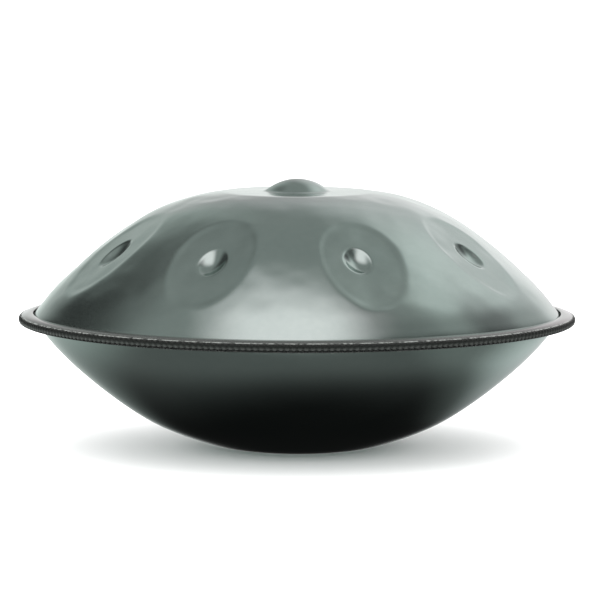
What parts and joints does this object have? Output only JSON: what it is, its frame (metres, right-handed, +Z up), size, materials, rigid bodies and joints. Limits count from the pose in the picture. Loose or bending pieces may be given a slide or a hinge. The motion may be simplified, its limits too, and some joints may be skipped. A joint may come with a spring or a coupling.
{
  "type": "handpan",
  "caption": "Handpan: two shallow steel shells joined at the rim under a ribbed rubber trim, with a domed ding, a ring of dimpled tone fields and a round port below.",
  "frame": {"origin": "centre of the flat land round the port that the pan stands on, on the pan's axis", "axes": "+Z up along the pan's axis through the ding, -Y towards the front, +X to the right seen from the front"},
  "size_m": [0.54, 0.54, 0.2618],
  "materials": {
    "nitrided_steel": "satin nitrided steel, grey-green, faintly brushed round the pan",
    "seam_adhesive": "matt dark structural adhesive",
    "trim_rubber": "black rubber with a satin sheen, ribbed round its nose",
    "clip_steel": "plain spring steel"
  },
  "bodies": {
    "root": {"top_shell": "nitrided_steel", "bottom_shell": "nitrided_steel", "rim_adhesive": "seam_adhesive", "edge_trim": "trim_rubber", "trim_clip_core": "clip_steel"}
  },
  "joints": []
}
